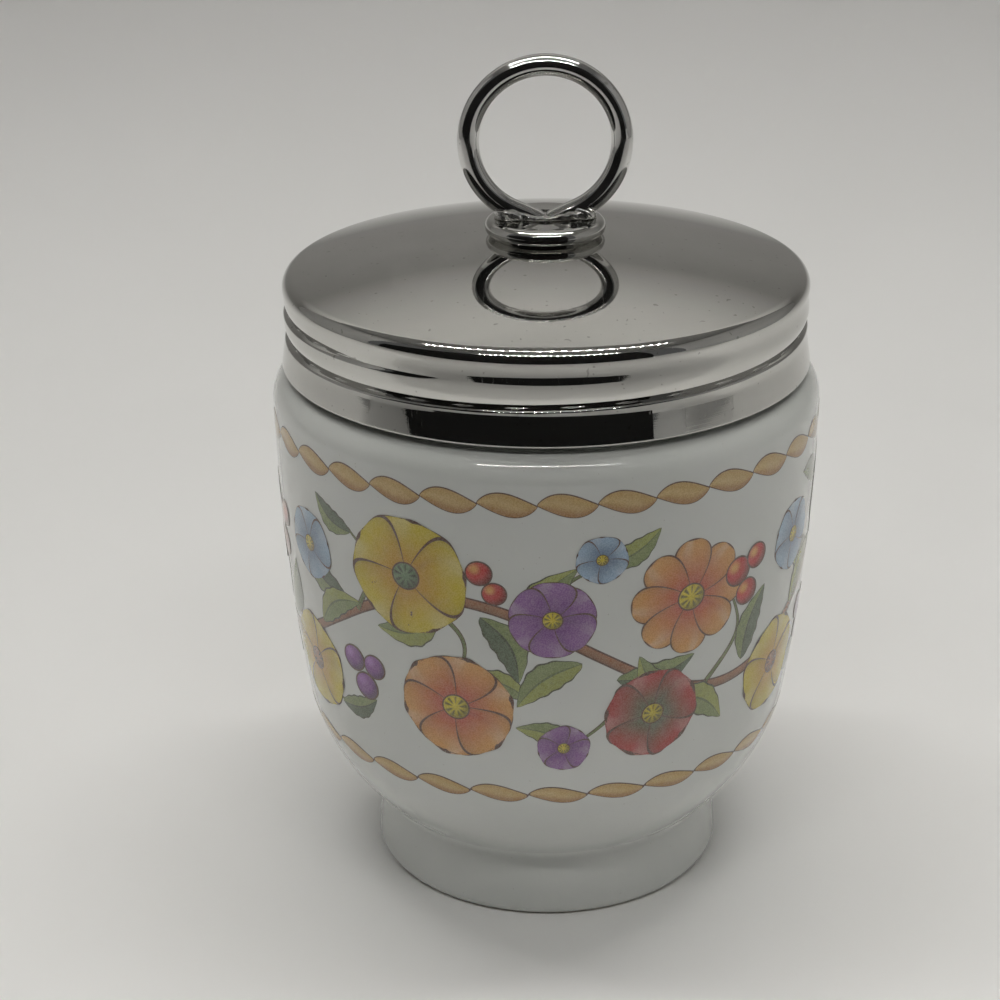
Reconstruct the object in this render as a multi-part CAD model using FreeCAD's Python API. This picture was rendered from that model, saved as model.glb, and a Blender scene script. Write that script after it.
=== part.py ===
import FreeCAD, Part
import math
import os

# A porcelain egg coddler for one egg: a glazed cup with a foot ring and a coarse thread on its neck,
# and a screwed sheet-metal lid with a wire ring brazed on a round boss.
# Millimetres, +Z up. The origin is the middle of the foot's underside, on the table.
# The lid's axis and the cup's axis are the Z axis. The front is towards -Y.

# Porcelain cup
foot_radius = 20.1
foot_waist_radius = 19.5
foot_height = 7.8
foot_edge_round = 1.2
foot_waist_round = 1.5
foot_ring_width = 4.2
foot_recess_depth = 4.6
foot_recess_round = 1.0
foot_inner_round = 0.9
body_radius = 30.0
bowl_round = 24.0
bowl_lean = 45.5
side_lean = 8.0
side_height = 33.44
shoulder_round = 3.2
wall = 3.0
floor_thickness = 3.6
well_floor_round = 6.0
neck_radius = 26.8
neck_wall = 2.6
neck_height = 10.15
neck_root_round = 0.6
rim_round = 1.15
mouth_slope_height = 3.4
mouth_slope_round = 2.5

# Lid, pressed from one sheet
sheet = 0.5
skirt_clearance = 1.2
lid_edge_flare = 0.2
waist_drop = 1.83
waist_depth = 0.12
waist_round = 4.5
band_drop = 3.43
band_round = 5.0
lower_band_drop = 6.23
lower_band_inset = 0.15
hem_flare = 0.33
lid_shoulder_round = 1.4
dome_round = 102.0
rim_gap = 0.25
hem_gap = 0.45

# Thread: one right-hand start, rolled into the skirt and moulded on the neck
thread_pitch = 2.85
lid_groove_depth = 0.5
lid_groove_drop = 5.63
lid_groove_lower_flank = 50.0
lid_groove_upper_flank = 73.0
lid_thread_start = -155.0
lid_thread_end = 300.0
lid_ridge_crest = 0.6
neck_ridge_height = 0.85
neck_ridge_crest = 0.7
neck_ridge_start = -330.0
neck_ridge_end = 75.0
thread_flank = 40.0
thread_play = 0.28
thread_fade = 40.0
thread_fade_depth = 1.0
helix_step = 12.0

# Boss, rivet and washer
boss_radius = 6.5
boss_height = 1.96
boss_rim_round = 0.9
boss_web = 0.45
head_recess_radius = 3.0
rivet_head_thickness = 0.25
rivet_radius = 1.6
rivet_running_gap = 0.05
rivet_head_gap = 0.1
rivet_upset_radius = 2.8
rivet_upset_height = 1.1
rivet_upset_round = 0.95
washer_radius = 4.5
washer_thickness = 0.6
washer_edge_round = 0.15

# Ring and its braze
ring_wire_radius = 1.165
ring_inner_radius = 7.0
ring_end_gap = 0.3
braze_gap = 0.05
braze_depth_in_ring = 0.25
saddle_length = 11.0
saddle_width = 3.6
saddle_height = 1.3
saddle_round = 0.55

FULL_TURN = 360.0
SMALL = 1e-6


def vec(r, z):
    """A point of an outline: r from the axis, z above the table."""
    return FreeCAD.Vector(r, 0, z)


def sin(degrees):
    return math.sin(math.radians(degrees))


def cos(degrees):
    return math.cos(math.radians(degrees))


def tan(degrees):
    return math.tan(math.radians(degrees))


def heading(a, b):
    """Direction from corner a to corner b, in degrees from +r towards +z."""
    return math.degrees(math.atan2(b[1] - a[1], b[0] - a[0]))


def turn_at(a, b, c):
    """How far an outline turns at corner b, in degrees, positive to the left."""
    half_turn = FULL_TURN / 2.0
    return (heading(b, c) - heading(a, b) + half_turn) % FULL_TURN - half_turn


def offset_chain(corners, gap):
    """The same open chain of rounded corners, moved to its left by gap."""
    moved = []
    for i, (r, z, rounding) in enumerate(corners):
        before = corners[i - 1] if i > 0 else None
        after = corners[i + 1] if i + 1 < len(corners) else None
        if before is None:
            normal, stretch, turn = heading((r, z), after) + 90.0, 1.0, 0.0
        elif after is None:
            normal, stretch, turn = heading(before, (r, z)) + 90.0, 1.0, 0.0
        else:
            turn = turn_at(before, (r, z), after)
            normal = heading(before, (r, z)) + 90.0 + turn / 2.0
            stretch = 1.0 / cos(turn / 2.0)
        new_rounding = rounding - gap if turn > 0 else rounding + gap
        moved.append((r + gap * stretch * cos(normal), z + gap * stretch * sin(normal),
                      max(new_rounding, 0.0) if rounding > 0 else 0.0))
    return moved


def outline_face(corners):
    """A face in the XZ plane, with each corner (r, z, rounding) rounded by an arc."""
    edges = []
    count = len(corners)
    arcs = []
    for i in range(count):
        before, here, after = corners[i - 1], corners[i], corners[(i + 1) % count]
        turn = turn_at(before, here, after)
        rounding = here[2]
        if rounding <= 0 or abs(turn) < SMALL:
            arcs.append((vec(here[0], here[1]), None, vec(here[0], here[1])))
            continue
        tangent = rounding * tan(abs(turn) / 2.0)
        into, out = heading(before, here), heading(here, after)
        start = vec(here[0] - tangent * cos(into), here[1] - tangent * sin(into))
        end = vec(here[0] + tangent * cos(out), here[1] + tangent * sin(out))
        side = 90.0 if turn > 0 else -90.0
        centre = vec(start.x + rounding * cos(into + side), start.z + rounding * sin(into + side))
        middle = into + turn / 2.0 - side
        mid = vec(centre.x + rounding * cos(middle), centre.z + rounding * sin(middle))
        arcs.append((start, mid, end))
    for i, (start, mid, end) in enumerate(arcs):
        if mid is not None:
            edges.append(Part.Arc(start, mid, end).toShape())
        following = arcs[(i + 1) % count][0]
        if end.distanceToPoint(following) > SMALL:
            edges.append(Part.LineSegment(end, following).toShape())
    return Part.Face(Part.Wire(edges))


def turned(corners):
    """The solid turned from a closed outline about the Z axis."""
    return outline_face(corners).revolve(FreeCAD.Vector(0, 0, 0), FreeCAD.Vector(0, 0, 1), FULL_TURN)


def cup_bowl():
    """Outer corners of the cup's bowl and side, from the foot's waist up to the belly line."""
    side_round = side_height / sin(side_lean)
    side_tangent = side_round * tan(side_lean / 2.0)
    bowl_tangent = bowl_round * tan((bowl_lean - side_lean) / 2.0)
    side_line = side_tangent + bowl_tangent
    low_r = body_radius - side_line * sin(side_lean)
    low_z = foot_height + (low_r - foot_waist_radius) / tan(bowl_lean)
    high_z = low_z + side_line * cos(side_lean)
    return [(foot_waist_radius, foot_height, foot_waist_round),
            (low_r, low_z, bowl_round),
            (body_radius, high_z, side_round),
            (body_radius, high_z + side_tangent, 0.0)]


bowl = cup_bowl()
belly_z = bowl[-1][1]
shoulder_z = belly_z + shoulder_round
rim_z = shoulder_z + neck_height
mouth_radius = neck_radius - neck_wall
inner_radius = body_radius - wall
well_floor_z = foot_recess_depth + floor_thickness

skirt_radius = neck_radius + skirt_clearance + sheet
crest_radius = skirt_radius - sheet - lid_groove_depth
crease_radius = skirt_radius - lid_groove_depth
lid_radius = skirt_radius + lid_edge_flare
hem_radius = skirt_radius + hem_flare
hem_z = shoulder_z + hem_gap


def lid_top():
    """Outer corners of the lid's dome, from the edge of the boss's seat to the shoulder."""
    seat_slope = math.degrees(math.asin(boss_radius / dome_round))
    edge_radius = lid_radius - lid_shoulder_round
    edge_slope = math.degrees(math.asin(edge_radius / dome_round))
    tangent = dome_round * tan((edge_slope - seat_slope) / 2.0)
    rim_middle = neck_radius - rim_round
    dome_z = rim_z + rim_gap + sheet + dome_round - math.sqrt(dome_round**2 - rim_middle**2)
    seat_z = dome_z - dome_round * (1.0 - cos(seat_slope))
    knee = (boss_radius + tangent * cos(seat_slope), seat_z - tangent * sin(seat_slope), dome_round)
    shoulder = (lid_radius, knee[1] - (lid_radius - knee[0]) * tan(edge_slope), lid_shoulder_round)
    return seat_z, knee, shoulder


seat_z, dome_knee, lid_shoulder = lid_top()
groove_z = lid_shoulder[1] - lid_groove_drop
boss_top_z = seat_z + boss_height
recess_floor_z = seat_z + boss_web
rivet_head_top_z = recess_floor_z + rivet_head_thickness
ring_bottom_z = rivet_head_top_z + braze_gap
ring_outer_radius = ring_inner_radius + 2.0 * ring_wire_radius
ring_z = ring_bottom_z + ring_outer_radius
rivet_hole_radius = rivet_radius + rivet_running_gap
washer_top_z = seat_z - sheet
washer_bottom_z = washer_top_z - washer_thickness


def flank(depth, angle=thread_flank):
    """How far a thread flank spreads along the axis over a depth."""
    return depth * tan(angle)


overlap_depth = neck_radius + neck_ridge_height - crest_radius
thread_step = (lid_ridge_crest + neck_ridge_crest) / 2.0 + flank(overlap_depth) + thread_play
neck_thread_z = groove_z + thread_step


def helical_bar(section, start, end, front_z, fade_shift):
    """A bar of triangular or four-sided section that follows the thread's right-hand helix.

    start and end are turns about +Z in degrees, from the front. front_z is the height at the front.
    Over the fade at each end the bar moves outwards by fade_shift, so that it runs out of its wall.
    """
    def place(phase):
        past = max(start - phase, phase - end, 0.0)
        shift = fade_shift * (past / thread_fade) ** 2
        angle = math.radians(phase) - math.pi / 2.0
        z = front_z + thread_pitch * phase / FULL_TURN
        r = section[0][0] + shift
        return FreeCAD.Vector(r * math.cos(angle), r * math.sin(angle), z)

    first, last = start - thread_fade, end + thread_fade
    count = math.ceil((last - first) / helix_step)
    points = [place(first + (last - first) * i / count) for i in range(count + 1)]
    curve = Part.BSplineCurve()
    curve.interpolate(points)
    spine = Part.Wire([curve.toShape()])

    angle = math.radians(first) - math.pi / 2.0
    out = FreeCAD.Vector(math.cos(angle), math.sin(angle), 0)
    up = FreeCAD.Vector(0, 0, 1)
    base = points[0]
    corners = [base + out * (r - section[0][0]) + up * z for r, z in section]
    profile = Part.makePolygon(corners + [corners[0]])
    shell = Part.BRepOffsetAPI.MakePipeShell(spine)
    shell.setBiNormalMode(up)
    shell.add(profile)
    shell.build()
    shell.makeSolid()
    return shell.shape()


def make_cup():
    """The porcelain cup: foot ring, bowl, side, shoulder, threaded neck and the well inside."""
    inside = offset_chain(bowl, wall)
    floor_r = inside[1][0] - (inside[1][1] - well_floor_z) * tan(bowl_lean)
    outline = [(0, foot_recess_depth, 0),
               (foot_radius - foot_ring_width, foot_recess_depth, foot_recess_round),
               (foot_radius - foot_ring_width, 0, foot_inner_round),
               (foot_radius, 0, foot_edge_round)]
    outline += bowl[:3]
    outline += [(body_radius, shoulder_z, shoulder_round),
                (neck_radius, shoulder_z, neck_root_round),
                (neck_radius, rim_z, rim_round),
                (mouth_radius, rim_z, rim_round),
                (mouth_radius, shoulder_z, mouth_slope_round),
                (inner_radius, shoulder_z - mouth_slope_height, mouth_slope_round)]
    outline += [inside[2], inside[1], (floor_r, well_floor_z, well_floor_round), (0, well_floor_z, 0)]
    body = turned(outline)
    crest = neck_radius + neck_ridge_height
    base = neck_radius - neck_ridge_height
    section = [(crest, neck_ridge_crest / 2.0),
               (crest, -neck_ridge_crest / 2.0),
               (base, -neck_ridge_crest / 2.0 - flank(crest - base)),
               (base, neck_ridge_crest / 2.0 + flank(crest - base))]
    ridge = helical_bar(section, neck_ridge_start, neck_ridge_end, neck_thread_z, -thread_fade_depth)
    return body.fuse(ridge)


def skirt_corners():
    """Outer corners of the lid, from the rivet's hole over the dome and down the skirt to its hem."""
    top = lid_shoulder[1]
    return [(rivet_hole_radius, seat_z, 0),
            (boss_radius, seat_z, 0),
            dome_knee,
            lid_shoulder,
            (skirt_radius - waist_depth, top - waist_drop, waist_round),
            (skirt_radius, top - band_drop, band_round),
            (skirt_radius - lower_band_inset, top - lower_band_drop, band_round),
            (hem_radius, hem_z, 0)]


def make_lid_shell():
    """The sheet-metal lid, with the thread rolled through the sheet from outside."""
    outer = skirt_corners()
    inner = offset_chain(outer, -sheet)
    inner[-1] = (inner[-1][0], hem_z, 0)
    blank = turned(outer + [(0, hem_z, 0), (0, seat_z, 0)])
    void = turned(inner + [(0, hem_z, 0), (0, inner[0][1], 0)])
    clear_radius = hem_radius + lid_groove_depth
    reach = clear_radius - crease_radius
    groove = helical_bar([(crease_radius, 0),
                          (clear_radius, -flank(reach, lid_groove_lower_flank)),
                          (clear_radius, flank(reach, lid_groove_upper_flank))],
                         lid_thread_start, lid_thread_end, groove_z, thread_fade_depth)
    half = lid_ridge_crest / 2.0
    spread = flank(hem_radius - crest_radius)
    ridge = helical_bar([(crest_radius, half),
                         (crest_radius, -half),
                         (hem_radius, -half - spread),
                         (hem_radius, half + spread)],
                        lid_thread_start, lid_thread_end, groove_z, thread_fade_depth)
    hole = Part.makeCylinder(rivet_hole_radius, seat_z, FreeCAD.Vector(0, 0, hem_z))
    return blank.cut(groove).cut(void.cut(ridge)).cut(hole)


def make_ring():
    """The wire ring, upright in the XZ plane, with a small gap where its ends meet at the bottom."""
    bend_radius = ring_inner_radius + ring_wire_radius
    half_gap = math.degrees(ring_end_gap / 2.0 / bend_radius)
    middle = FreeCAD.Vector(0, 0, ring_z)
    across = FreeCAD.Vector(0, 1, 0)
    wire_end = Part.Face(Part.Wire(Part.makeCircle(ring_wire_radius,
                                                   FreeCAD.Vector(0, 0, ring_z - bend_radius),
                                                   FreeCAD.Vector(1, 0, 0))))
    wire_end.rotate(middle, across, half_gap)
    return wire_end.revolve(middle, across, FULL_TURN - 2.0 * half_gap)


def make_boss():
    """The turned boss: a disc with a rounded rim, a recess for the rivet's head and the ring's bed."""
    outline = [(rivet_hole_radius, seat_z, 0),
               (boss_radius, seat_z, boss_rim_round),
               (boss_radius, boss_top_z, boss_rim_round),
               (head_recess_radius, boss_top_z, 0),
               (head_recess_radius, recess_floor_z, 0),
               (rivet_hole_radius, recess_floor_z, 0)]
    return turned(outline)


def make_rivet():
    """The rivet: a flat head in the boss's recess, a shank and an upset end under the washer."""
    head_radius = head_recess_radius - rivet_head_gap
    outline = [(0, rivet_head_top_z, 0),
               (0, washer_bottom_z - rivet_upset_height, 0),
               (rivet_upset_radius, washer_bottom_z - rivet_upset_height, rivet_upset_round),
               (rivet_upset_radius, washer_bottom_z, 0),
               (rivet_radius, washer_bottom_z, 0),
               (rivet_radius, recess_floor_z, 0),
               (head_radius, recess_floor_z, 0),
               (head_radius, rivet_head_top_z, 0)]
    return turned(outline)


def make_washer():
    """The washer between the lid's underside and the rivet's upset end."""
    outline = [(rivet_radius, washer_bottom_z, 0),
               (washer_radius, washer_bottom_z, washer_edge_round),
               (washer_radius, washer_top_z, washer_edge_round),
               (rivet_radius, washer_top_z, 0)]
    return turned(outline)


def make_braze(boss, ring):
    """The braze: it fills the recess round the ring and stands as a low saddle on the boss."""
    fill_z = ring_bottom_z + braze_depth_in_ring
    fill = Part.makeCylinder(head_recess_radius, boss_top_z - fill_z, FreeCAD.Vector(0, 0, fill_z))
    corner = FreeCAD.Vector(-saddle_length / 2.0, -saddle_width / 2.0, boss_top_z)
    bar = Part.makeBox(saddle_length, saddle_width, saddle_height, corner)
    middle_z = boss_top_z + saddle_height / 2.0
    upper_edges = [edge for edge in bar.Edges if edge.BoundBox.ZMax > middle_z]
    saddle = bar.makeFillet(saddle_round, upper_edges)
    return fill.fuse(saddle).cut(ring).cut(boss)


def main():
    ring = make_ring()
    boss = make_boss().cut(ring)
    pieces = {
        "cup": make_cup(),
        "lid_shell": make_lid_shell(),
        "lid_boss": boss,
        "boss_rivet": make_rivet(),
        "rivet_washer": make_washer(),
        "ring_handle": ring,
        "ring_braze": make_braze(boss, ring),
    }
    os.makedirs("parts", exist_ok=True)
    for name, shape in pieces.items():
        box = shape.BoundBox
        print(f"{name}: {len(shape.Solids)} solid, valid {shape.isValid()}, volume {shape.Volume:.1f}, "
              f"z {box.ZMin:.2f} to {box.ZMax:.2f}, width {box.XLength:.2f}")
        shape.exportStep(f"parts/{name}.step")


main()
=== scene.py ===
import math
import random

import bpy
import numpy as np
from mathutils import Matrix, Vector


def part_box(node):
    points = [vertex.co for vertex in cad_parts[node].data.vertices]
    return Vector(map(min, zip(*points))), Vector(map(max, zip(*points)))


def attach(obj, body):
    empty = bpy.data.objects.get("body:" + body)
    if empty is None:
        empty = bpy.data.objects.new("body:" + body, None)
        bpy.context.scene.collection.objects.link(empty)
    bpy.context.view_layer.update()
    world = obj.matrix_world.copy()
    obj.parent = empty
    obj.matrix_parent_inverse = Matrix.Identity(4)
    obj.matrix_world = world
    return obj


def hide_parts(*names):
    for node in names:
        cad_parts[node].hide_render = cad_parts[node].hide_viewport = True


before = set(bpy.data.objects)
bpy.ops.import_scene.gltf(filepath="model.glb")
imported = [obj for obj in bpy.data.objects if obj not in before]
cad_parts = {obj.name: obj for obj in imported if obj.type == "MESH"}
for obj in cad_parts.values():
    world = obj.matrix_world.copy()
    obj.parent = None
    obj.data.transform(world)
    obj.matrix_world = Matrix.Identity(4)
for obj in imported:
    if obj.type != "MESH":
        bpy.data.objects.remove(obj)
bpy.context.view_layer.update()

MM = 0.001
FULL_TURN = 360.0

# Cup outline, in millimetres, as the CAD cup has it
FOOT_RADIUS = 20.1
FOOT_WAIST_RADIUS = 19.5
FOOT_HEIGHT = 7.8
FOOT_EDGE_ROUND = 1.2
FOOT_WAIST_ROUND = 1.5
FOOT_RING_WIDTH = 4.2
FOOT_RECESS_DEPTH = 4.6
FOOT_RECESS_ROUND = 1.0
FOOT_INNER_ROUND = 0.9
BODY_RADIUS = 30.0
BOWL_ROUND = 24.0
BOWL_LEAN = 45.5
SIDE_LEAN = 8.0
SIDE_HEIGHT = 33.44
SHOULDER_ROUND = 3.2
WALL = 3.0
FLOOR_THICKNESS = 3.6
WELL_FLOOR_ROUND = 6.0
NECK_RADIUS = 26.8
NECK_WALL = 2.6
NECK_HEIGHT = 10.15
NECK_ROOT_ROUND = 0.6
RIM_ROUND = 1.15
MOUTH_SLOPE_HEIGHT = 3.4
MOUTH_SLOPE_ROUND = 2.5

# Lid
SHEET = 0.5
SKIRT_RADIUS = 28.5
LID_EDGE_FLARE = 0.2
WAIST_DROP, WAIST_DEPTH, WAIST_ROUND = 1.83, 0.12, 4.5
BAND_DROP, BAND_ROUND = 3.43, 5.0
LOWER_BAND_DROP, LOWER_BAND_INSET = 6.23, 0.15
HEM_FLARE = 0.33
HEM_GAP = 0.45
HEM_ROUND = 0.2
LID_SHOULDER_ROUND = 1.4
DOME_ROUND = 102.0
RIM_GAP = 0.25

# Thread
PITCH = 2.85
GROOVE_DEPTH = 0.5
GROOVE_DROP = 5.63
GROOVE_UPPER_SIDE = 1.7
GROOVE_LOWER_SIDE = 0.36
LID_THREAD = (-155.0, 300.0)
LID_RIDGE_CREST = 0.6
NECK_RIDGE_HEIGHT = 0.85
NECK_RIDGE_CREST = 0.7
NECK_THREAD = (-330.0, 75.0)
THREAD_STEP = 1.055
THREAD_FADE = 40.0
THREAD_FLANK = 0.84

# Boss, ring and braze
RIVET_HOLE_RADIUS = 1.65
BOSS_RADIUS = 6.5
BOSS_HEIGHT = 1.96
BOSS_WEB = 0.45
BOSS_RIM_ROUND = 0.9
BOSS_DISH = 0.12
BOSS_FOOT_SET = 0.55
BOSS_FOOT_RISE = 0.6
HEAD_RECESS_RADIUS = 3.0
WIRE_RADIUS = 1.165
RING_INNER_RADIUS = 7.0
RING_END_GAP = 0.16
RING_V_ANGLE = 23.0
WIRE_END_ROUND = 0.25
SADDLE_LENGTH = 11.0
SADDLE_WIDTH = 3.6
SADDLE_SINK = 0.35
SADDLE_PINCH_HEIGHT = 0.22
SADDLE_LOBE_HEIGHT = 1.0
SADDLE_PINCH_SHARE = 0.70

# Printed bands
UPPER_ROPE_Z, UPPER_ROPE_TALL, UPPER_ROPE_COUNT, UPPER_ROPE_PHASE = 54.3, 2.7, 31, -2.9
LOWER_ROPE_Z, LOWER_ROPE_TALL, LOWER_ROPE_COUNT, LOWER_ROPE_PHASE = 19.8, 2.4, 27, -5.3
PRINT_LIFT = 0.02
LAYER_LIFT = 0.005
PRINT_SINK = 0.03
PRINT_MARGIN = 1.0
PRINT_RADIUS = 28.5
ROUND_CUP = PRINT_RADIUS * 2.0 * math.pi

# How finely the meshes are cut
LATHE_STEPS = 256
SKIRT_STEP = 0.09
LID_STEP = 1.0
CUP_OUTSIDE_STEP = 1.2
CUP_INSIDE_STEP = 1.5
NECK_STEP = 0.14
NECK_MARGIN = 0.3
NECK_START = 0.2
ARC_STEP_DEG = 4.0
ON_AXIS = 1e-6


def sin(degrees):
    return math.sin(math.radians(degrees))


def cos(degrees):
    return math.cos(math.radians(degrees))


def tan(degrees):
    return math.tan(math.radians(degrees))


def smooth(t):
    """0 to 1 with soft ends."""
    t = np.clip(t, 0.0, 1.0)
    return t * t * (3.0 - 2.0 * t)


# Outlines

def heading(a, b):
    """The direction from a to b, in degrees."""
    return math.degrees(math.atan2(b[1] - a[1], b[0] - a[0]))


def turn_at(a, b, c):
    """How far a path from a to c turns at b, in degrees, positive to the left."""
    return (heading(b, c) - heading(a, b) + FULL_TURN / 2.0) % FULL_TURN - FULL_TURN / 2.0


def offset_chain(corners, gap):
    """The same open chain of rounded corners, moved to its left by gap."""
    moved = []
    for i, (r, z, rounding) in enumerate(corners):
        first, last = i == 0, i == len(corners) - 1
        if first or last:
            near = corners[1] if first else corners[-2]
            normal = (heading((r, z), near) if first else heading(near, (r, z))) + 90.0
            stretch, turn = 1.0, 0.0
        else:
            turn = turn_at(corners[i - 1], (r, z), corners[i + 1])
            normal = heading(corners[i - 1], (r, z)) + 90.0 + turn / 2.0
            stretch = 1.0 / cos(turn / 2.0)
        rounded = rounding - gap if turn > 0 else rounding + gap
        moved.append((r + gap * stretch * cos(normal), z + gap * stretch * sin(normal),
                      max(rounded, 0.0) if rounding > 0 else 0.0))
    return moved


def sample(corners, longest=2.0, fine=None):
    """Points along an open outline with rounded corners; fine is a finer part's (low z, high z, step)."""
    points = [corners[0][:2]]
    for i in range(1, len(corners) - 1):
        before, (r, z, rounding), after = corners[i - 1], corners[i], corners[i + 1]
        turn = turn_at(before, (r, z), after)
        if rounding <= 0 or abs(turn) < 0.01:
            points.append((r, z))
            continue
        tangent = rounding * tan(abs(turn) / 2.0)
        into = heading(before, (r, z))
        side = 90.0 if turn > 0 else -90.0
        start = (r - tangent * cos(into), z - tangent * sin(into))
        centre = (start[0] + rounding * cos(into + side), start[1] + rounding * sin(into + side))
        arc_length = rounding * math.radians(abs(turn))
        count = max(2, math.ceil(abs(turn) / ARC_STEP_DEG), math.ceil(arc_length / longest))
        for k in range(count + 1):
            angle = into - side + turn * k / count
            points.append((centre[0] + rounding * cos(angle), centre[1] + rounding * sin(angle)))
    points.append(corners[-1][:2])
    out = [points[0]]
    for p in points[1:]:
        a = out[-1]
        gap = math.dist(a, p)
        if gap < 1e-5:
            continue
        step = longest
        if fine and fine[0] <= (a[1] + p[1]) / 2.0 <= fine[1]:
            step = fine[2]
        count = max(1, math.ceil(gap / step))
        out += [(a[0] + (p[0] - a[0]) * k / count, a[1] + (p[1] - a[1]) * k / count)
                for k in range(1, count + 1)]
    return np.array(out)


def cup_bowl():
    """Outer corners of the bowl and side, from the foot's waist up to the belly line."""
    side_round = SIDE_HEIGHT / sin(SIDE_LEAN)
    side_tangent = side_round * tan(SIDE_LEAN / 2.0)
    line = side_tangent + BOWL_ROUND * tan((BOWL_LEAN - SIDE_LEAN) / 2.0)
    low_r = BODY_RADIUS - line * sin(SIDE_LEAN)
    low_z = FOOT_HEIGHT + (low_r - FOOT_WAIST_RADIUS) / tan(BOWL_LEAN)
    high_z = low_z + line * cos(SIDE_LEAN)
    return [(FOOT_WAIST_RADIUS, FOOT_HEIGHT, FOOT_WAIST_ROUND), (low_r, low_z, BOWL_ROUND),
            (BODY_RADIUS, high_z, side_round), (BODY_RADIUS, high_z + side_tangent, 0.0)]


BOWL = cup_bowl()
SHOULDER_Z = BOWL[-1][1] + SHOULDER_ROUND
RIM_Z = SHOULDER_Z + NECK_HEIGHT
HEM_Z = SHOULDER_Z + HEM_GAP
WELL_FLOOR_Z = FOOT_RECESS_DEPTH + FLOOR_THICKNESS


def cup_outside():
    """Outer corners, from the axis under the foot to the middle of the rim."""
    foot_in = FOOT_RADIUS - FOOT_RING_WIDTH
    return ([(0.0, FOOT_RECESS_DEPTH, 0), (foot_in, FOOT_RECESS_DEPTH, FOOT_RECESS_ROUND),
             (foot_in, 0.0, FOOT_INNER_ROUND), (FOOT_RADIUS, 0.0, FOOT_EDGE_ROUND)] + BOWL[:3] +
            [(BODY_RADIUS, SHOULDER_Z, SHOULDER_ROUND), (NECK_RADIUS, SHOULDER_Z, NECK_ROOT_ROUND),
             (NECK_RADIUS, RIM_Z, RIM_ROUND)])


def cup_inside():
    """Inner corners, from the rim down to the axis at the well's floor."""
    inside = offset_chain(BOWL, WALL)
    floor_r = inside[1][0] - (inside[1][1] - WELL_FLOOR_Z) * tan(BOWL_LEAN)
    mouth = NECK_RADIUS - NECK_WALL
    return [(mouth, RIM_Z, RIM_ROUND), (mouth, SHOULDER_Z, MOUTH_SLOPE_ROUND),
            (BODY_RADIUS - WALL, SHOULDER_Z - MOUTH_SLOPE_HEIGHT, MOUTH_SLOPE_ROUND),
            inside[2], inside[1], (floor_r, WELL_FLOOR_Z, WELL_FLOOR_ROUND), (0.0, WELL_FLOOR_Z, 0)]


def lid_top():
    """Seat height and the outer corners of the dome and shoulder."""
    seat_slope = math.degrees(math.asin(BOSS_RADIUS / DOME_ROUND))
    edge = SKIRT_RADIUS + LID_EDGE_FLARE
    edge_slope = math.degrees(math.asin((edge - LID_SHOULDER_ROUND) / DOME_ROUND))
    tangent = DOME_ROUND * tan((edge_slope - seat_slope) / 2.0)
    middle = NECK_RADIUS - RIM_ROUND
    apex = RIM_Z + RIM_GAP + SHEET + DOME_ROUND - math.sqrt(DOME_ROUND ** 2 - middle ** 2)
    seat = apex - DOME_ROUND * (1.0 - cos(seat_slope))
    knee = (BOSS_RADIUS + tangent * cos(seat_slope), seat - tangent * sin(seat_slope), DOME_ROUND)
    shoulder = (edge, knee[1] - (edge - knee[0]) * tan(edge_slope), LID_SHOULDER_ROUND)
    return seat, knee, shoulder


SEAT_Z, DOME_KNEE, LID_SHOULDER = lid_top()
TOP_Z = LID_SHOULDER[1]
GROOVE_Z = TOP_Z - GROOVE_DROP
BOSS_TOP_Z = SEAT_Z + BOSS_HEIGHT
RING_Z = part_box("ring_handle")[1].z / MM - RING_INNER_RADIUS - 2.0 * WIRE_RADIUS


# Meshes

def new_object(name, points, faces, sharp_angle=35.0):
    mesh = bpy.data.meshes.new(name)
    mesh.from_pydata([tuple(p) for p in np.asarray(points) * MM], [], faces)
    mesh.validate()
    mesh.update()
    obj = bpy.data.objects.new(name, mesh)
    bpy.context.scene.collection.objects.link(obj)
    mesh.polygons.foreach_set("use_smooth", [True] * len(mesh.polygons))
    mesh.set_sharp_from_angle(angle=math.radians(sharp_angle))
    return obj


def ring_faces(rows, columns, close_rows):
    """Quads of a grid that closes round its columns, and also round its rows where asked."""
    faces = []
    last = rows if close_rows else rows - 1
    for i in range(last):
        j = (i + 1) % rows
        for k in range(columns):
            m = (k + 1) % columns
            faces.append((i * columns + k, i * columns + m, j * columns + m, j * columns + k))
    return faces


def lathe(name, outline, shift=None, closed=True, steps=LATHE_STEPS, sharp_angle=35.0):
    """Turns an outline about Z. shift(row, z, phase) moves its points outwards by a distance in
    millimetres. phase is in degrees from the front."""
    outline = np.asarray(outline, float)
    poles = [i for i in range(len(outline)) if outline[i, 0] < ON_AXIS]
    body = np.array([p for p in outline if p[0] >= ON_AXIS])
    phase = np.arange(steps) * FULL_TURN / steps
    r = np.repeat(body[:, :1], steps, 1)
    z = np.repeat(body[:, 1:], steps, 1)
    if shift:
        r = r + shift(np.arange(len(body))[:, None], z, phase[None, :])
    angle = np.radians(phase - 90.0)
    points = np.stack([r * np.cos(angle), r * np.sin(angle), z], -1).reshape(-1, 3)
    faces = ring_faces(len(body), steps, closed and not poles)
    if poles:
        extra = [(0.0, 0.0, outline[i, 1]) for i in poles]
        base = len(points)
        points = np.vstack([points, extra])
        start, end = 0, (len(body) - 1) * steps
        for k in range(steps):
            m = (k + 1) % steps
            if 0 in poles:
                faces.append((base, start + m, start + k))
            if len(outline) - 1 in poles:
                faces.append((base + len(poles) - 1, end + k, end + m))
    return new_object(name, points, faces, sharp_angle)


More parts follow.
